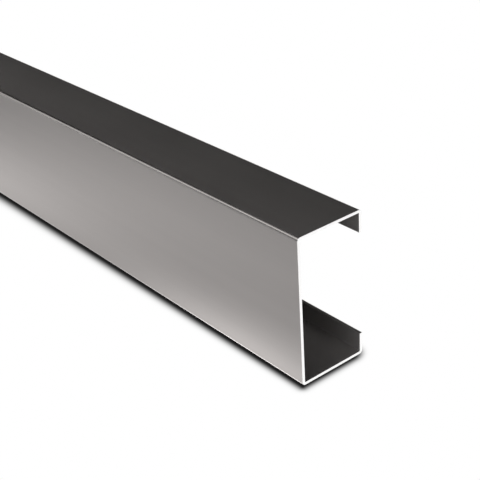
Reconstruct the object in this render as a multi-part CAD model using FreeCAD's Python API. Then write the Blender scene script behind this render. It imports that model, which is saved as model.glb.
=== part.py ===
"""Lipped steel channel section, 100 x 50 x 15 x 2 mm, one metre long.

One strip of sheet is cold-formed into a C: a web, two flanges and two lips that
turn in towards each other. It lies along X and stands on its lower flange, with
the back of the web facing -Y and the open side facing +Y. The origin is the
centre of the footprint, at floor level, and Z is up. All sizes are in millimetres.
"""

import math
import os

import FreeCAD
import Part

# Driving sizes
LENGTH = 1000.0
WEB_HEIGHT = 100.0
FLANGE_WIDTH = 50.0
LIP_DEPTH = 15.0
SHEET = 2.0
INSIDE_BEND_RADIUS = 0.5
SLIT_EDGE_RADIUS = 0.25

# Sizes that follow
OUTSIDE_BEND_RADIUS = INSIDE_BEND_RADIUS + SHEET
BACK_Y = -FLANGE_WIDTH / 2
FRONT_Y = FLANGE_WIDTH / 2


def section_corners():
    """The section's sharp corners as (y, z, radius), anticlockwise seen from +X.

    They run from the lower lip's free edge round the outside of the C to the
    upper lip's free edge, and back round the inside."""
    inner_back = BACK_Y + SHEET
    inner_front = FRONT_Y - SHEET
    inner_floor = SHEET
    inner_roof = WEB_HEIGHT - SHEET
    lower_edge = LIP_DEPTH
    upper_edge = WEB_HEIGHT - LIP_DEPTH
    return [
        (inner_front, lower_edge, SLIT_EDGE_RADIUS),
        (inner_front, inner_floor, INSIDE_BEND_RADIUS),
        (inner_back, inner_floor, INSIDE_BEND_RADIUS),
        (inner_back, inner_roof, INSIDE_BEND_RADIUS),
        (inner_front, inner_roof, INSIDE_BEND_RADIUS),
        (inner_front, upper_edge, SLIT_EDGE_RADIUS),
        (FRONT_Y, upper_edge, SLIT_EDGE_RADIUS),
        (FRONT_Y, WEB_HEIGHT, OUTSIDE_BEND_RADIUS),
        (BACK_Y, WEB_HEIGHT, OUTSIDE_BEND_RADIUS),
        (BACK_Y, 0.0, OUTSIDE_BEND_RADIUS),
        (FRONT_Y, 0.0, OUTSIDE_BEND_RADIUS),
        (FRONT_Y, lower_edge, SLIT_EDGE_RADIUS),
    ]


def rounded_corner(before, corner, after, radius):
    """The start, middle and end of the arc that rounds off a right-angled corner."""
    towards_before = (before - corner).normalize()
    towards_after = (after - corner).normalize()
    centre = corner + (towards_before + towards_after) * radius
    start = corner + towards_before * radius
    end = corner + towards_after * radius
    middle = centre - (towards_before + towards_after) * (radius / math.sqrt(2))
    return start, middle, end


def section_face(x):
    """The C-shaped section as a flat face at the given x."""
    corners = section_corners()
    points = [FreeCAD.Vector(x, y, z) for y, z, _ in corners]
    arcs = []
    for i, (_, _, radius) in enumerate(corners):
        before = points[i - 1]
        after = points[(i + 1) % len(points)]
        arcs.append(rounded_corner(before, points[i], after, radius))
    edges = []
    for i, (start, middle, end) in enumerate(arcs):
        edges.append(Part.Arc(start, middle, end).toShape())
        next_start = arcs[(i + 1) % len(arcs)][0]
        edges.append(Part.LineSegment(end, next_start).toShape())
    return Part.Face(Part.Wire(edges))


def lipped_channel():
    """The section drawn out to its full length, cut square at both ends."""
    return section_face(-LENGTH / 2).extrude(FreeCAD.Vector(LENGTH, 0, 0))


def main():
    os.makedirs("parts", exist_ok=True)
    channel = lipped_channel()
    channel.exportStep("parts/lipped_channel.step")
    size = channel.BoundBox
    print("lipped_channel", "valid", channel.isValid(), "volume mm3", round(channel.Volume))
    print("box mm", round(size.XLength, 3), round(size.YLength, 3), round(size.ZLength, 3))


main()
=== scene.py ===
"""Looks of a lipped steel channel section: its sheet, its cut ends and the studio round it.

Blender 4.5, metres. The channel lies along X on the floor, with the back of its web
facing -Y, its open side facing +Y and its near end at +X.
"""

import math

import bpy
from mathutils import Matrix, Vector


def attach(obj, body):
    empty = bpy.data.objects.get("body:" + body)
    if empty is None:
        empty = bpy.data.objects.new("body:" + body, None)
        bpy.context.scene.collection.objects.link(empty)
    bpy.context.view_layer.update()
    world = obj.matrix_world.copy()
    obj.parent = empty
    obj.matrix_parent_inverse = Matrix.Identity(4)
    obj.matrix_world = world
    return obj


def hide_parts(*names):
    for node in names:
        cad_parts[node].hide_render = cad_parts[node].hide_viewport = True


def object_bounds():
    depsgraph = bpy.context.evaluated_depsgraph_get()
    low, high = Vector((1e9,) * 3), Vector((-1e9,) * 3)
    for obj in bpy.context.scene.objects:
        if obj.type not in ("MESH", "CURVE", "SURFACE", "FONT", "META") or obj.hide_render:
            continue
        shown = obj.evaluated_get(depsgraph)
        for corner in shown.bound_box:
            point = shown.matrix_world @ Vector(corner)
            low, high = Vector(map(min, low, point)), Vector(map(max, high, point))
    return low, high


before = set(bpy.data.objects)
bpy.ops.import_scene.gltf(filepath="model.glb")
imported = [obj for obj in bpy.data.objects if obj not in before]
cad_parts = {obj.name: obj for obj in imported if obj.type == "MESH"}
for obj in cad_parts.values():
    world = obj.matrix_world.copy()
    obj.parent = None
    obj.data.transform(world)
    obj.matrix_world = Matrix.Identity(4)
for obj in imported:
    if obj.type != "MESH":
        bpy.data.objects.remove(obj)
cad_low, cad_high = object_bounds()

NODE = "lipped_channel"
BODY = "root"

# The section's own sizes. Its overall sizes come from the frame.
SHEET = 0.002
LIP_DEPTH = 0.015
INSIDE_BEND = 0.0005
OUTSIDE_BEND = INSIDE_BEND + SHEET
SLIT_EDGE_RADIUS = 0.00025
BROKEN_EDGE = 0.00015
HEIGHT = cad_high.z
BACK_Y, FRONT_Y = cad_low.y, cad_high.y
FAR_X, NEAR_X = cad_low.x, cad_high.x

# How finely the mesh is divided
BEND_STEPS = 16
SLIT_STEPS = 4
SPANS = 40

QUARTER_TURN = math.pi / 2

# Camera: its place from the near end's lower web corner, and where it looks
CAMERA_OFFSET = Vector((0.3786, -0.3321, 0.3737))
CAMERA_AZIMUTH = math.radians(52.308)
CAMERA_ELEVATION = math.radians(28.428)
CAMERA_ROLL = math.radians(-3.952)
LENS_MM = 78.18
SENSOR_MM = 36.0
CLIP_START = 0.01

# Linear colours of the sheet and of its cut ends
STEEL = (0.493, 0.478, 0.473)
BRIGHT_STEEL = (0.96, 0.957, 0.95)

# Roughness of the sheet's flats and of its bends' crowns
SATIN = 0.46
BURNISHED = 0.2

# Shade of the bends' crowns, and how much painted shade darkens the outer faces from the web to the
# lips
# The crowns' brightening is partly burnished steel and partly a painted highlight along the bends
CROWN_SHADE = 1.16
PAINTED_SHADE_TO_LIPS = 0.2

# Noise on the steel: features per metre along X, Y and Z
ROLLING_LINES = (4.0, 900.0, 900.0)
BANDS = (1.5, 90.0, 90.0)
CLOUDS = (18.0, 26.0, 26.0)
SAW_LINES = (100.0, 60.0, 1600.0)

# What that noise changes: the sheet's shade and roughness by up to these amounts,
# and the cut ends' shade and roughness from one value to the other
LINE_SHADE = 0.015
BAND_SHADE = 0.012
CLOUD_SHADE = 0.012
ROUGHNESS_CHANGE = 0.015
CUT_SHADE = (0.97, 1.0)
CUT_ROUGHNESS = (0.42, 0.5)

# Nearly all noise lies between these
NOISE_LOW, NOISE_HIGH = 0.3, 0.7

# The contact shadow: its width by the near end, how many times wider it is further off, where from
# the near end that starts and is reached, its rounding at the open side, how sharply it fades, and
# the white left at its foot
SHADOW_WIDTH = 0.00416
SHADOW_WIDENING = 1.72
SHADOW_NARROW_TO, SHADOW_WIDE_FROM = 0.01, 0.4
SHADOW_ROUNDING = 0.0085
SHADOW_FALL = 2.4
SHADOW_FOOT = 0.012

# The floor's half side, how far it lies below the channel, and its grey for diffuse light
FLOOR_HALF = 6.0
FLOOR_DROP = 0.0001
FLOOR_GREY = 0.8

# The light in front and at the left is a little warm
WARM = (1.028, 1.0, 0.985)

# What the metal sees of the floor, where 1 is white: before the web, past both ends, and behind
# the web. There it is dark by the near end, and less so further back.
FLOOR_FRONT = 0.296
FLOOR_PAST_ENDS = 1.14
FLOOR_BEHIND = 0.75
FLOOR_BEHIND_NEAR_END = 0.01
FLOOR_FAR_BEHIND_NEAR_END = 0.3

# Over what distances these parts blend: from BACK_Y backwards, from both ends inwards, and in the
# dark part from FRONT_Y backwards. The dark part is whole up to DARK_WITHIN from the near end, and
# gone at DARK_UP_TO.
SIDE_BLEND = 0.03
END_BLEND = 0.004
DARK_DEPTH = 0.6
DARK_UP_TO, DARK_WITHIN = 0.7, 0.35

# Pools of light on the floor, as (centre, size, strength): three before the web, and a narrow one
# that lights the web's lower bend
FLOOR_POOLS = [
    ((NEAR_X - 0.0441, BACK_Y - 0.0077), (0.1220, 0.0192), 0.807),
    ((NEAR_X - 0.4277, BACK_Y - 0.0268), (0.2457, 0.0503), 0.697),
    ((NEAR_X - 0.2108, BACK_Y - 0.0930), (0.2244, 0.0200), 0.883),
    ((NEAR_X - 0.0300, BACK_Y + 0.0008), (0.1400, 0.0006), 2.0),
]

# What the metal sees of the sky, where 1 is white
SKY_FRONT_LEFT = 1.889
SKY_FRONT_RIGHT = 0.827
SKY_BACK_LEFT = 0.024
SKY_BACK_LEFT_TOP = 0.279
SKY_BACK_RIGHT = 0.03

# Where these parts of the sky begin and end: heights as the direction's Z, from the left to the
# right as the heading's X, and from the front to the back as its Y
FRONT_LEFT_RISE = (0.25, 0.8)
FRONT_RIGHT_RISE = (0.2, 0.6)
BACK_LEFT_RISE = (0.7, 0.95)
LEFT_TO_RIGHT = (-0.1, 0.4)
FRONT_TO_BACK_AT_LEFT = (-0.75, -0.3)
FRONT_TO_BACK_AT_RIGHT = (-0.1, 0.1)

# A round window in the sky: the direction of its middle, 20 degrees right of straight ahead and
# 10 degrees up, and the angles from there where it starts to fade and has faded out
WINDOW = 2.4
WINDOW_DIRECTION = (0.3368, -0.9254, 0.1736)
WINDOW_INNER = math.radians(14)
WINDOW_OUTER = math.radians(26)

# The square softbox: its place, what it points at, its side, and what a mirror would show of it
KEY_PLACE = Vector((-1.8, -1.3, 0.9))
KEY_AIM = Vector((0.0, 0.0, 0.05))
KEY_SIZE = 1.2
KEY_RADIANCE = 0.544


def section_stations():
    """Pairs of points on the section's outer and inner line, from the lower lip to the upper lip.

    Each is (outer point, inner point, outward normal, burnish_and_highlight), the first three as (y,
    z). burnish_and_highlight rises from 0 at both sides of a bend to 1 at its crown; it lowers the
    roughness there and brightens the colour as a painted highlight."""
    low, high = OUTSIDE_BEND, HEIGHT - OUTSIDE_BEND
    back, front = BACK_Y + OUTSIDE_BEND, FRONT_Y - OUTSIDE_BEND
    bend_centres = [(front, low), (back, low), (back, high), (front, high)]
    lip_run = LIP_DEPTH - OUTSIDE_BEND - SLIT_EDGE_RADIUS
    stations = []

    def add(centre, angle, burnish_and_highlight, along=0.0):
        normal = Vector((math.cos(angle), math.sin(angle)))
        shifted = Vector(centre) + Vector((normal.y, -normal.x)) * along
        outer = shifted + normal * OUTSIDE_BEND
        inner = shifted + normal * INSIDE_BEND
        stations.append((outer, inner, normal, burnish_and_highlight))

    add(bend_centres[0], 0.0, 0.0, -lip_run)
    for i, centre in enumerate(bend_centres):
        start = -i * QUARTER_TURN
        for step in range(BEND_STEPS + 1):
            part = step / BEND_STEPS
            add(centre, start - QUARTER_TURN * part, math.sin(math.pi * part))
    add(bend_centres[-1], 0.0, 0.0, lip_run)
    return stations


def free_edge(first_y, second_y, edge_z, out):
    """A lip's rounded free edge from first_y to second_y, as (point, normal).

    out is 1 if the edge faces up, or -1 if it faces down."""
    radius = SLIT_EDGE_RADIUS
    across = math.copysign(1.0, second_y - first_y)
    points = []
    for y, start in ((first_y + across * radius, 0.0), (second_y - across * radius, QUARTER_TURN)):
        centre = Vector((y, edge_z - out * radius))
        for step in range(SLIT_STEPS + 1):
            turn = start + QUARTER_TURN * step / SLIT_STEPS
            normal = Vector((-across * math.cos(turn), out * math.sin(turn)))
            points.append((centre + normal * radius, normal))
    return points[1:-1]


def section_outline(stations):
    """The section's closed line as (point, normal, burnish_and_highlight, painted_shade).

    It follows the outer line, the upper free edge, the inner line and the lower free edge.
    On the outer line, painted_shade grows from 0 at the web to 1 at the lips, for painted shade that
    darkens the outer faces towards the lips."""
    upper = free_edge(FRONT_Y, FRONT_Y - SHEET, HEIGHT - LIP_DEPTH, -1)
    lower = free_edge(FRONT_Y - SHEET, FRONT_Y, LIP_DEPTH, 1)
    width = FRONT_Y - BACK_Y
    outline = []
    for outer, _, normal, burnish_and_highlight in stations:
        outline.append((outer, normal, burnish_and_highlight, (outer.x - BACK_Y) / width))
    outline += [(point, normal, 0.0, 0.0) for point, normal in upper]
    outline += [(inner, -normal, 0.0, 0.0) for _, inner, normal, _ in reversed(stations)]
    outline += [(point, normal, 0.0, 0.0) for point, normal in lower]
    return outline


def end_faces(station_count, around):
    """A cut end as faces of outline indices: strips across the sheet and the two free edges."""
    edge_count = (around - 2 * station_count) // 2
    inner_first = station_count + edge_count
    inner = [inner_first + station_count - 1 - i for i in range(station_count)]
    strips = [[i, inner[i], inner[i + 1], i + 1] for i in range(station_count - 1)]
    upper = [station_count - 1, *reversed(range(station_count, inner_first + 1))]
    lower = [0, *reversed(range(inner[0], around))]
    return [*strips, upper, lower]


def channel_piece():
    """The channel as one closed mesh, with exact normals so that its flats shade flat."""
    stations = section_stations()
    outline = section_outline(stations)
    around = len(outline)

    body_start, body_end = FAR_X + BROKEN_EDGE, NEAR_X - BROKEN_EDGE
    rings = [(body_start + (body_end - body_start) * i / SPANS, 0.0) for i in range(SPANS + 1)]
    rings = [(FAR_X, BROKEN_EDGE), *rings, (NEAR_X, BROKEN_EDGE)]
    last = len(rings) - 1
    end_normals = {0: (-1.0, 0.0, 0.0), last: (1.0, 0.0, 0.0)}

    vertices = []
    for x, inset in rings:
        for point, normal, _, _ in outline:
            vertices.append((x, *(point - normal * inset)))

    faces, normals, is_cut = [], [], []
    for ring in range(last):
        for i in range(around):
            j = (i + 1) % around
            corners = [(ring, i), (ring + 1, i), (ring + 1, j), (ring, j)]
            faces.append([r * around + k for r, k in corners])
            normals += [end_normals.get(r, (0.0, *outline[k][1])) for r, k in corners]
            is_cut.append(ring in (0, last - 1))
    for ring, towards in end_normals.items():
        for face in end_faces(len(stations), around):
            ordered = face if ring == last else face[::-1]
            faces.append([ring * around + k for k in ordered])
            normals += [towards] * len(face)
            is_cut.append(True)

    mesh = bpy.data.meshes.new("channel_sheet")
    mesh.from_pydata(vertices, [], faces)
    mesh.materials.append(rolled_steel())
    mesh.materials.append(cut_steel())
    mesh.polygons.foreach_set("material_index", [int(cut) for cut in is_cut])
    mesh.polygons.foreach_set("use_smooth", [True] * len(faces))
    # Burnish and painted highlight: lowers the roughness and brightens the colour at the bends' crowns
    burnish_and_highlight = mesh.attributes.new("burnish_and_highlight", "FLOAT", "POINT")
    burnish_and_highlight.data.foreach_set("value", [amount for _, _, amount, _ in outline] * len(rings))
    # Painted shade: darkens the outer faces from the web towards the lips
    painted_shade = mesh.attributes.new("painted_shade", "FLOAT", "POINT")
    painted_shade.data.foreach_set("value", [amount for _, _, _, amount in outline] * len(rings))
    mesh.normals_split_custom_set(normals)
    channel = bpy.data.objects.new("channel_sheet", mesh)
    bpy.context.scene.collection.objects.link(channel)
    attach(channel, BODY)
    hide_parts(NODE)


class Graph:
    """A node tree with short calls. Most add nodes, set or link their inputs, and return an output."""

    def __init__(self, owner):
        owner.use_nodes = True
        self.tree = owner.node_tree
        self.tree.nodes.clear()

    def node(self, kind, inputs=None, output=0, **settings):
        node = self.tree.nodes.new(kind)
        for name, value in settings.items():
            setattr(node, name, value)
        for key, value in (inputs or {}).items():
            if isinstance(value, bpy.types.NodeSocket):
                self.tree.links.new(value, node.inputs[key])
            else:
                node.inputs[key].default_value = value
        return node.outputs[output]

    def math(self, operation, a, b=0.0):
        return self.node("ShaderNodeMath", {0: a, 1: b}, operation=operation)

    def vector(self, operation, a, b=(0.0, 0.0, 0.0), output=0):
        return self.node("ShaderNodeVectorMath", {0: a, 1: b}, output, operation=operation)

    def scale(self, vector, factor):
        inputs = {0: vector, "Scale": factor}
        return self.node("ShaderNodeVectorMath", inputs, operation="SCALE")

    def ramp(self, value, from_low, from_high, to_low, to_high, kind="LINEAR"):
        ends = {"From Min": from_low, "From Max": from_high, "To Min": to_low, "To Max": to_high}
        return self.node("ShaderNodeMapRange", {"Value": value, **ends}, interpolation_type=kind)

    def smooth(self, value, from_low, from_high, to_low, to_high):
        return self.ramp(value, from_low, from_high, to_low, to_high, "SMOOTHSTEP")

    def axis(self, vector, name):
        return self.node("ShaderNodeSeparateXYZ", {0: vector}, name)

    def noise(self, place, per_metre, detail=2.0, roughness=0.5):
        """Noise about 0.5, with its count of features per metre along X, Y and Z."""
        scaled = self.vector("MULTIPLY", place, per_metre)
        inputs = {"Vector": scaled, "Scale": 1.0, "Detail": detail, "Roughness": roughness}
        return self.node("ShaderNodeTexNoise", inputs)

    def spread(self, noise, low, high):
        """Turns noise into a value from low to high."""
        return self.ramp(noise, NOISE_LOW, NOISE_HIGH, low, high)

    def vary(self, noise, amount):
        """Turns noise into a value from -amount to amount."""
        return self.spread(noise, -amount, amount)

    def tint(self, amount, colour):
        """White where amount is 0, and colour where it is 1."""
        shift = [channel - 1.0 for channel in colour]
        inputs = {0: amount, 1: shift, 2: (1.0, 1.0, 1.0)}
        return self.node("ShaderNodeVectorMath", inputs, operation="MULTIPLY_ADD")

    def metal(self, colour, roughness, bump):
        inputs = {"Base Color": colour, "Metallic": 1.0, "Roughness": roughness, "Normal": bump}
        self.surface(self.node("ShaderNodeBsdfPrincipled", inputs))

    def surface(self, shader):
        kind = "World" if isinstance(self.tree.id_data, bpy.types.World) else "Material"
        output = self.tree.nodes.new("ShaderNodeOutput" + kind)
        self.tree.links.new(shader, output.inputs["Surface"])


def rolled_steel():
    """Bare cold-rolled sheet: satin, with fine rolling lines along its length.

    Its bends are burnished by the rolls and their crowns carry a painted highlight, and painted shade
    darkens its outer faces towards the lips."""
    material = bpy.data.materials.new("rolled_steel")
    g = Graph(material)
    place = g.node("ShaderNodeTexCoord", output="Object")
    lines = g.noise(place, ROLLING_LINES, detail=3.0, roughness=0.6)
    bands = g.noise(place, BANDS)
    clouds = g.noise(place, CLOUDS, detail=4.0, roughness=0.55)
    burnish_and_highlight = g.node("ShaderNodeAttribute", output="Fac", attribute_name="burnish_and_highlight")
    painted_shade = g.node("ShaderNodeAttribute", output="Fac", attribute_name="painted_shade")

    shade = g.math("ADD", g.vary(lines, LINE_SHADE), g.vary(bands, BAND_SHADE))
    shade = g.math("ADD", shade, g.vary(clouds, CLOUD_SHADE))
    # Painted highlight: the bends' crowns are brightened, partly as burnished steel
    shade = g.math("ADD", shade, g.ramp(burnish_and_highlight, 0.0, 1.0, 1.0, CROWN_SHADE))
    # Painted shade: the outer faces darken from the web towards the lips
    shade = g.math("SUBTRACT", shade, g.math("MULTIPLY", painted_shade, PAINTED_SHADE_TO_LIPS))
    colour = g.scale(STEEL, shade)
    roughness = g.math("ADD", g.vary(lines, ROUGHNESS_CHANGE), g.vary(clouds, ROUGHNESS_CHANGE))
    roughness = g.math("ADD", roughness, g.ramp(burnish_and_highlight, 0.0, 1.0, SATIN, BURNISHED))
    bump = g.node("ShaderNodeBump", {"Strength": 0.05, "Distance": 0.0001, "Height": lines})
    g.metal(colour, roughness, bump)
    return material


def cut_steel():
    """A freshly cut end: bright, with faint saw lines across it."""
    material = bpy.data.materials.new("cut_steel")
    g = Graph(material)
    place = g.node("ShaderNodeTexCoord", output="Object")
    saw_lines = g.noise(place, SAW_LINES)
    colour = g.scale(BRIGHT_STEEL, g.spread(saw_lines, *CUT_SHADE))
    roughness = g.spread(saw_lines, *CUT_ROUGHNESS)
    bump = g.node("ShaderNodeBump", {"Strength": 0.1, "Distance": 0.00005, "Height": saw_lines})
    g.metal(colour, roughness, bump)
    return material


def ray_kinds(graph):
    """Two factors: 1 for camera rays, and 1 for rays that reflect in metal or pass through glass."""
    paths = graph.tree.nodes.new("ShaderNodeLightPath").outputs
    reflected = graph.math("MAXIMUM", paths["Is Glossy Ray"], paths["Is Transmission Ray"])
    return paths["Is Camera Ray"], reflected


def light_inputs(graph, reflected, plain, reflection, warmth):
    """A light's inputs: plain and white, or where reflected is 1, reflection, tinted by warmth."""
    strength = graph.ramp(reflected, 0.0, 1.0, plain, reflection)
    colour = graph.tint(graph.math("MULTIPLY", reflected, warmth), WARM)
    return {"Color": colour, "Strength": strength}


def glow(graph, place, centre, size, strength):
    """A soft pool of light: strength at its centre, fading as a bell curve of the given size."""
    across = graph.vector("SUBTRACT", place, (*centre, 0.0))
    across = graph.vector("DIVIDE", across, (*size, 1.0))
    distance = graph.vector("LENGTH", across, output="Value")
    squared = graph.math("MULTIPLY", distance, distance)
    bell = graph.math("EXPONENT", graph.math("MULTIPLY", squared, -1.0))
    return graph.math("MULTIPLY", bell, strength)


def contact_shadow(graph, place):
    """How much of the floor's white is left beside the channel: hardly any at its foot, and
    all of it a finger's width away.

    The shadow widens away from the near end, and at the open side its outline is rounded."""
    x, y = graph.axis(place, "X"), graph.axis(place, "Y")
    rounding = graph.math("MULTIPLY", graph.math("GREATER_THAN", y, 0.0), SHADOW_ROUNDING)
    outside = graph.vector("SUBTRACT", graph.vector("ABSOLUTE", place), (NEAR_X, FRONT_Y, 0.0))
    outside = graph.vector("MAXIMUM", graph.vector("ADD", outside, rounding))
    level = graph.vector("MULTIPLY", outside, (1.0, 1.0, 0.0))
    distance = graph.vector("LENGTH", level, output="Value")
    distance = graph.math("MAXIMUM", graph.math("SUBTRACT", distance, rounding), 0.0)
    widest = SHADOW_WIDENING * SHADOW_WIDTH
    wide_x, narrow_x = NEAR_X - SHADOW_WIDE_FROM, NEAR_X - SHADOW_NARROW_TO
    width = graph.ramp(x, wide_x, narrow_x, widest, SHADOW_WIDTH)
    reach = graph.math("POWER", graph.math("DIVIDE", distance, width), SHADOW_FALL)
    darkness = graph.math("EXPONENT", graph.math("MULTIPLY", reach, -1.0))
    return graph.ramp(darkness, 0.0, 1.0, 1.0, SHADOW_FOOT)


def floor_parts(graph, place, front, behind, past_ends):
    """A value for each part of the floor: before the web, behind it, and past both ends."""
    x, y = graph.axis(place, "X"), graph.axis(place, "Y")
    beside = graph.smooth(y, BACK_Y, BACK_Y + SIDE_BLEND, front, behind)
    from_middle = graph.math("ABSOLUTE", x)
    return graph.smooth(from_middle, NEAR_X - END_BLEND, NEAR_X, beside, past_ends)


def floor_reflection(graph, place):
    """What the metal sees of the floor: the pools of light, white past both ends, and light grey
    behind the web except near the near end."""
    x, y = graph.axis(place, "X"), graph.axis(place, "Y")
    front = FLOOR_FRONT
    for centre, size, strength in FLOOR_POOLS:
        front = graph.math("ADD", glow(graph, place, centre, size, strength), front)
    dark_end = FRONT_Y + DARK_DEPTH
    dark = graph.ramp(y, FRONT_Y, dark_end, FLOOR_BEHIND_NEAR_END, FLOOR_FAR_BEHIND_NEAR_END)
    behind = graph.smooth(x, NEAR_X - DARK_UP_TO, NEAR_X - DARK_WITHIN, FLOOR_BEHIND, dark)
    return floor_parts(graph, place, front, behind, FLOOR_PAST_ENDS)


def studio_floor():
    """The floor: white with a contact shadow to the camera, and floor_reflection to the metal."""
    mesh = bpy.data.meshes.new("floor")
    corners = [(x * FLOOR_HALF, y * FLOOR_HALF, 0.0) for x, y in ((-1, -1), (1, -1), (1, 1), (-1, 1))]
    mesh.from_pydata(corners, [], [(0, 1, 2, 3)])
    floor = bpy.data.objects.new("floor", mesh)
    floor.location.z = cad_low.z - FLOOR_DROP
    bpy.context.scene.collection.objects.link(floor)

    material = bpy.data.materials.new("white_floor")
    material.cycles.emission_sampling = "NONE"
    mesh.materials.append(material)
    g = Graph(material)
    place = g.node("ShaderNodeTexCoord", output="Object")
    camera, reflected = ray_kinds(g)
    shadow = contact_shadow(g, place)
    reflection = floor_reflection(g, place)
    warmth = floor_parts(g, place, 1.0, 0.0, 0.0)
    light = g.node("ShaderNodeEmission", light_inputs(g, reflected, shadow, reflection, warmth))
    diffuse = g.node("ShaderNodeBsdfDiffuse", {"Color": (FLOOR_GREY, FLOOR_GREY, FLOOR_GREY, 1.0)})
    seen = g.math("MAXIMUM", camera, reflected)
    g.surface(g.node("ShaderNodeMixShader", {0: seen, 1: diffuse, 2: light}))


def studio_world():
    """The sky: white to the camera. The metal sees it bright high in front, dark at the back,
    which keeps upward faces dark, and with a window low on the front right."""
    world = bpy.data.worlds.new("studio")
    world.cycles.sampling_method = "NONE"
    bpy.context.scene.world = world
    g = Graph(world)
    direction = g.node("ShaderNodeTexCoord", output="Generated")
    up = g.axis(direction, "Z")
    heading = g.vector("NORMALIZE", g.vector("MULTIPLY", direction, (1.0, 1.0, 0.0)))
    along, across = g.axis(heading, "X"), g.axis(heading, "Y")
    front_left = g.ramp(up, *FRONT_LEFT_RISE, 0.0, SKY_FRONT_LEFT)
    front_right = g.ramp(up, *FRONT_RIGHT_RISE, 0.0, SKY_FRONT_RIGHT)
    back_left = g.ramp(up, *BACK_LEFT_RISE, SKY_BACK_LEFT, SKY_BACK_LEFT_TOP)
    left = g.smooth(across, *FRONT_TO_BACK_AT_LEFT, front_left, back_left)
    right = g.ramp(across, *FRONT_TO_BACK_AT_RIGHT, front_right, SKY_BACK_RIGHT)
    sky = g.smooth(along, *LEFT_TO_RIGHT, left, right)
    facing = g.vector("DOT_PRODUCT", direction, WINDOW_DIRECTION, output="Value")
    window = g.smooth(facing, math.cos(WINDOW_OUTER), math.cos(WINDOW_INNER), 0.0, WINDOW)
    reflection = g.math("ADD", sky, window)
    _, reflected = ray_kinds(g)
    warmth = g.smooth(along, *LEFT_TO_RIGHT, 1.0, 0.0)
    inputs = light_inputs(g, reflected, 1.0, reflection, warmth)
    g.surface(g.node("ShaderNodeBackground", inputs))


def key_light():
    """The softbox at the left in front, which the camera doesn't see."""
    light = bpy.data.lights.new("key", "AREA")
    light.size = KEY_SIZE
    light.energy = KEY_RADIANCE * math.pi * KEY_SIZE * KEY_SIZE
    light.color = WARM
    lamp = bpy.data.objects.new("key", light)
    lamp.location = KEY_PLACE
    lamp.rotation_euler = (KEY_AIM - KEY_PLACE).to_track_quat("-Z", "Y").to_euler()
    lamp.visible_camera = False
    bpy.context.scene.collection.objects.link(lamp)


def studio_camera():
    """The camera at the photograph's viewing angle."""
    camera = bpy.data.cameras.new("camera")
    camera.lens = LENS_MM
    camera.sensor_width = SENSOR_MM
    camera.clip_start = CLIP_START
    viewer = bpy.data.objects.new("camera", camera)
    back = Vector((
        math.sin(CAMERA_AZIMUTH) * math.cos(CAMERA_ELEVATION),
        -math.cos(CAMERA_AZIMUTH) * math.cos(CAMERA_ELEVATION),
        math.sin(CAMERA_ELEVATION)))
    turn = back.to_track_quat("Z", "Y").to_matrix().to_4x4() @ Matrix.Rotation(CAMERA_ROLL, 4, "Z")
    corner = Vector((NEAR_X, BACK_Y, cad_low.z))
    viewer.matrix_world = Matrix.Translation(corner + CAMERA_OFFSET) @ turn
    bpy.context.scene.collection.objects.link(viewer)
    bpy.context.scene.camera = viewer


studio_camera()
channel_piece()
studio_floor()
studio_world()
key_light()
bpy.context.scene.view_settings.view_transform = "Standard"
